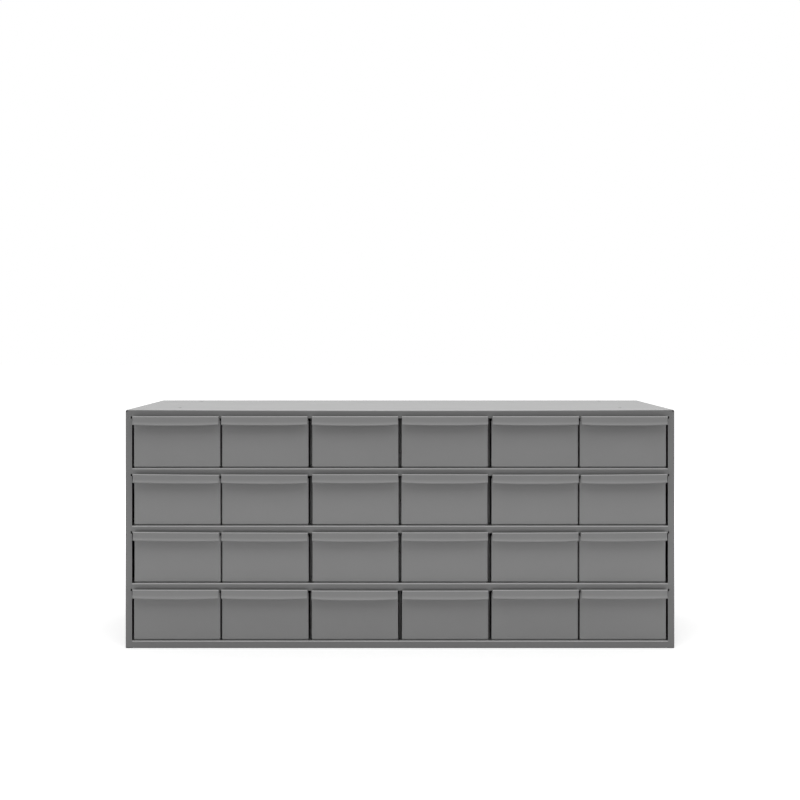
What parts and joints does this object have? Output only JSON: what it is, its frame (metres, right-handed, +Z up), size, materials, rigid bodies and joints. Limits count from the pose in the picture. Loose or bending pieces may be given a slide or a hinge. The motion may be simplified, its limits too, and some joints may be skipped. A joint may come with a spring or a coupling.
{
  "type": "parts bin cabinet",
  "caption": "Low, wide sheet-steel parts cabinet with rows of lift-out bin drawers, each with a full-width hooded pull.",
  "frame": {"origin": "on the plane that the cabinet stands on, midway across its width and midway between the fronts of the hooded pulls and the cabinet's back", "axes": "+X to the right as seen from the front, +Y from the front to the back, +Z up"},
  "size_m": [0.8572, 0.3104, 0.3725],
  "materials": {
    "cabinet_paint": "grey baked enamel, semi-gloss",
    "drawer_paint": "grey baked enamel, semi-gloss"
  },
  "bodies": {
    "cabinet": {"cabinet_wrapper": "cabinet_paint", "cabinet_bottom": "cabinet_paint", "cabinet_back": "cabinet_paint", "shelf_1": "cabinet_paint", "shelf_2": "cabinet_paint", "shelf_3": "cabinet_paint", "partition_1": "cabinet_paint", "partition_2": "cabinet_paint", "partition_3": "cabinet_paint", "partition_4": "cabinet_paint", "partition_5": "cabinet_paint"},
    "drawer_r1c1": {"drawer_r1c1_box": "drawer_paint", "drawer_r1c1_front": "drawer_paint"},
    "drawer_r1c2": {"drawer_r1c2_box": "drawer_paint", "drawer_r1c2_front": "drawer_paint"},
    "drawer_r1c3": {"drawer_r1c3_box": "drawer_paint", "drawer_r1c3_front": "drawer_paint"},
    "drawer_r1c4": {"drawer_r1c4_box": "drawer_paint", "drawer_r1c4_front": "drawer_paint"},
    "drawer_r1c5": {"drawer_r1c5_box": "drawer_paint", "drawer_r1c5_front": "drawer_paint"},
    "drawer_r1c6": {"drawer_r1c6_box": "drawer_paint", "drawer_r1c6_front": "drawer_paint"},
    "drawer_r2c1": {"drawer_r2c1_box": "drawer_paint", "drawer_r2c1_front": "drawer_paint"},
    "drawer_r2c2": {"drawer_r2c2_box": "drawer_paint", "drawer_r2c2_front": "drawer_paint"},
    "drawer_r2c3": {"drawer_r2c3_box": "drawer_paint", "drawer_r2c3_front": "drawer_paint"},
    "drawer_r2c4": {"drawer_r2c4_box": "drawer_paint", "drawer_r2c4_front": "drawer_paint"},
    "drawer_r2c5": {"drawer_r2c5_box": "drawer_paint", "drawer_r2c5_front": "drawer_paint"},
    "drawer_r2c6": {"drawer_r2c6_box": "drawer_paint", "drawer_r2c6_front": "drawer_paint"},
    "drawer_r3c1": {"drawer_r3c1_box": "drawer_paint", "drawer_r3c1_front": "drawer_paint"},
    "drawer_r3c2": {"drawer_r3c2_box": "drawer_paint", "drawer_r3c2_front": "drawer_paint"},
    "drawer_r3c3": {"drawer_r3c3_box": "drawer_paint", "drawer_r3c3_front": "drawer_paint"},
    "drawer_r3c4": {"drawer_r3c4_box": "drawer_paint", "drawer_r3c4_front": "drawer_paint"},
    "drawer_r3c5": {"drawer_r3c5_box": "drawer_paint", "drawer_r3c5_front": "drawer_paint"},
    "drawer_r3c6": {"drawer_r3c6_box": "drawer_paint", "drawer_r3c6_front": "drawer_paint"},
    "drawer_r4c1": {"drawer_r4c1_box": "drawer_paint", "drawer_r4c1_front": "drawer_paint"},
    "drawer_r4c2": {"drawer_r4c2_box": "drawer_paint", "drawer_r4c2_front": "drawer_paint"},
    "drawer_r4c3": {"drawer_r4c3_box": "drawer_paint", "drawer_r4c3_front": "drawer_paint"},
    "drawer_r4c4": {"drawer_r4c4_box": "drawer_paint", "drawer_r4c4_front": "drawer_paint"},
    "drawer_r4c5": {"drawer_r4c5_box": "drawer_paint", "drawer_r4c5_front": "drawer_paint"},
    "drawer_r4c6": {"drawer_r4c6_box": "drawer_paint", "drawer_r4c6_front": "drawer_paint"}
  },
  "joints": [
    {"name": "drawer_r1c1_slide", "type": "slide", "parent": "cabinet", "child": "drawer_r1c1", "axis": [0, -1, 0], "range_m": [0, 0.28]},
    {"name": "drawer_r1c2_slide", "type": "slide", "parent": "cabinet", "child": "drawer_r1c2", "axis": [0, -1, 0], "range_m": [0, 0.28]},
    {"name": "drawer_r1c3_slide", "type": "slide", "parent": "cabinet", "child": "drawer_r1c3", "axis": [0, -1, 0], "range_m": [0, 0.28]},
    {"name": "drawer_r1c4_slide", "type": "slide", "parent": "cabinet", "child": "drawer_r1c4", "axis": [0, -1, 0], "range_m": [0, 0.28]},
    {"name": "drawer_r1c5_slide", "type": "slide", "parent": "cabinet", "child": "drawer_r1c5", "axis": [0, -1, 0], "range_m": [0, 0.28]},
    {"name": "drawer_r1c6_slide", "type": "slide", "parent": "cabinet", "child": "drawer_r1c6", "axis": [0, -1, 0], "range_m": [0, 0.28]},
    {"name": "drawer_r2c1_slide", "type": "slide", "parent": "cabinet", "child": "drawer_r2c1", "axis": [0, -1, 0], "range_m": [0, 0.28]},
    {"name": "drawer_r2c2_slide", "type": "slide", "parent": "cabinet", "child": "drawer_r2c2", "axis": [0, -1, 0], "range_m": [0, 0.28]},
    {"name": "drawer_r2c3_slide", "type": "slide", "parent": "cabinet", "child": "drawer_r2c3", "axis": [0, -1, 0], "range_m": [0, 0.28]},
    {"name": "drawer_r2c4_slide", "type": "slide", "parent": "cabinet", "child": "drawer_r2c4", "axis": [0, -1, 0], "range_m": [0, 0.28]},
    {"name": "drawer_r2c5_slide", "type": "slide", "parent": "cabinet", "child": "drawer_r2c5", "axis": [0, -1, 0], "range_m": [0, 0.28]},
    {"name": "drawer_r2c6_slide", "type": "slide", "parent": "cabinet", "child": "drawer_r2c6", "axis": [0, -1, 0], "range_m": [0, 0.28]},
    {"name": "drawer_r3c1_slide", "type": "slide", "parent": "cabinet", "child": "drawer_r3c1", "axis": [0, -1, 0], "range_m": [0, 0.28]},
    {"name": "drawer_r3c2_slide", "type": "slide", "parent": "cabinet", "child": "drawer_r3c2", "axis": [0, -1, 0], "range_m": [0, 0.28]},
    {"name": "drawer_r3c3_slide", "type": "slide", "parent": "cabinet", "child": "drawer_r3c3", "axis": [0, -1, 0], "range_m": [0, 0.28]},
    {"name": "drawer_r3c4_slide", "type": "slide", "parent": "cabinet", "child": "drawer_r3c4", "axis": [0, -1, 0], "range_m": [0, 0.28]},
    {"name": "drawer_r3c5_slide", "type": "slide", "parent": "cabinet", "child": "drawer_r3c5", "axis": [0, -1, 0], "range_m": [0, 0.28]},
    {"name": "drawer_r3c6_slide", "type": "slide", "parent": "cabinet", "child": "drawer_r3c6", "axis": [0, -1, 0], "range_m": [0, 0.28]},
    {"name": "drawer_r4c1_slide", "type": "slide", "parent": "cabinet", "child": "drawer_r4c1", "axis": [0, -1, 0], "range_m": [0, 0.28]},
    {"name": "drawer_r4c2_slide", "type": "slide", "parent": "cabinet", "child": "drawer_r4c2", "axis": [0, -1, 0], "range_m": [0, 0.28]},
    {"name": "drawer_r4c3_slide", "type": "slide", "parent": "cabinet", "child": "drawer_r4c3", "axis": [0, -1, 0], "range_m": [0, 0.28]},
    {"name": "drawer_r4c4_slide", "type": "slide", "parent": "cabinet", "child": "drawer_r4c4", "axis": [0, -1, 0], "range_m": [0, 0.28]},
    {"name": "drawer_r4c5_slide", "type": "slide", "parent": "cabinet", "child": "drawer_r4c5", "axis": [0, -1, 0], "range_m": [0, 0.28]},
    {"name": "drawer_r4c6_slide", "type": "slide", "parent": "cabinet", "child": "drawer_r4c6", "axis": [0, -1, 0], "range_m": [0, 0.28]}
  ]
}
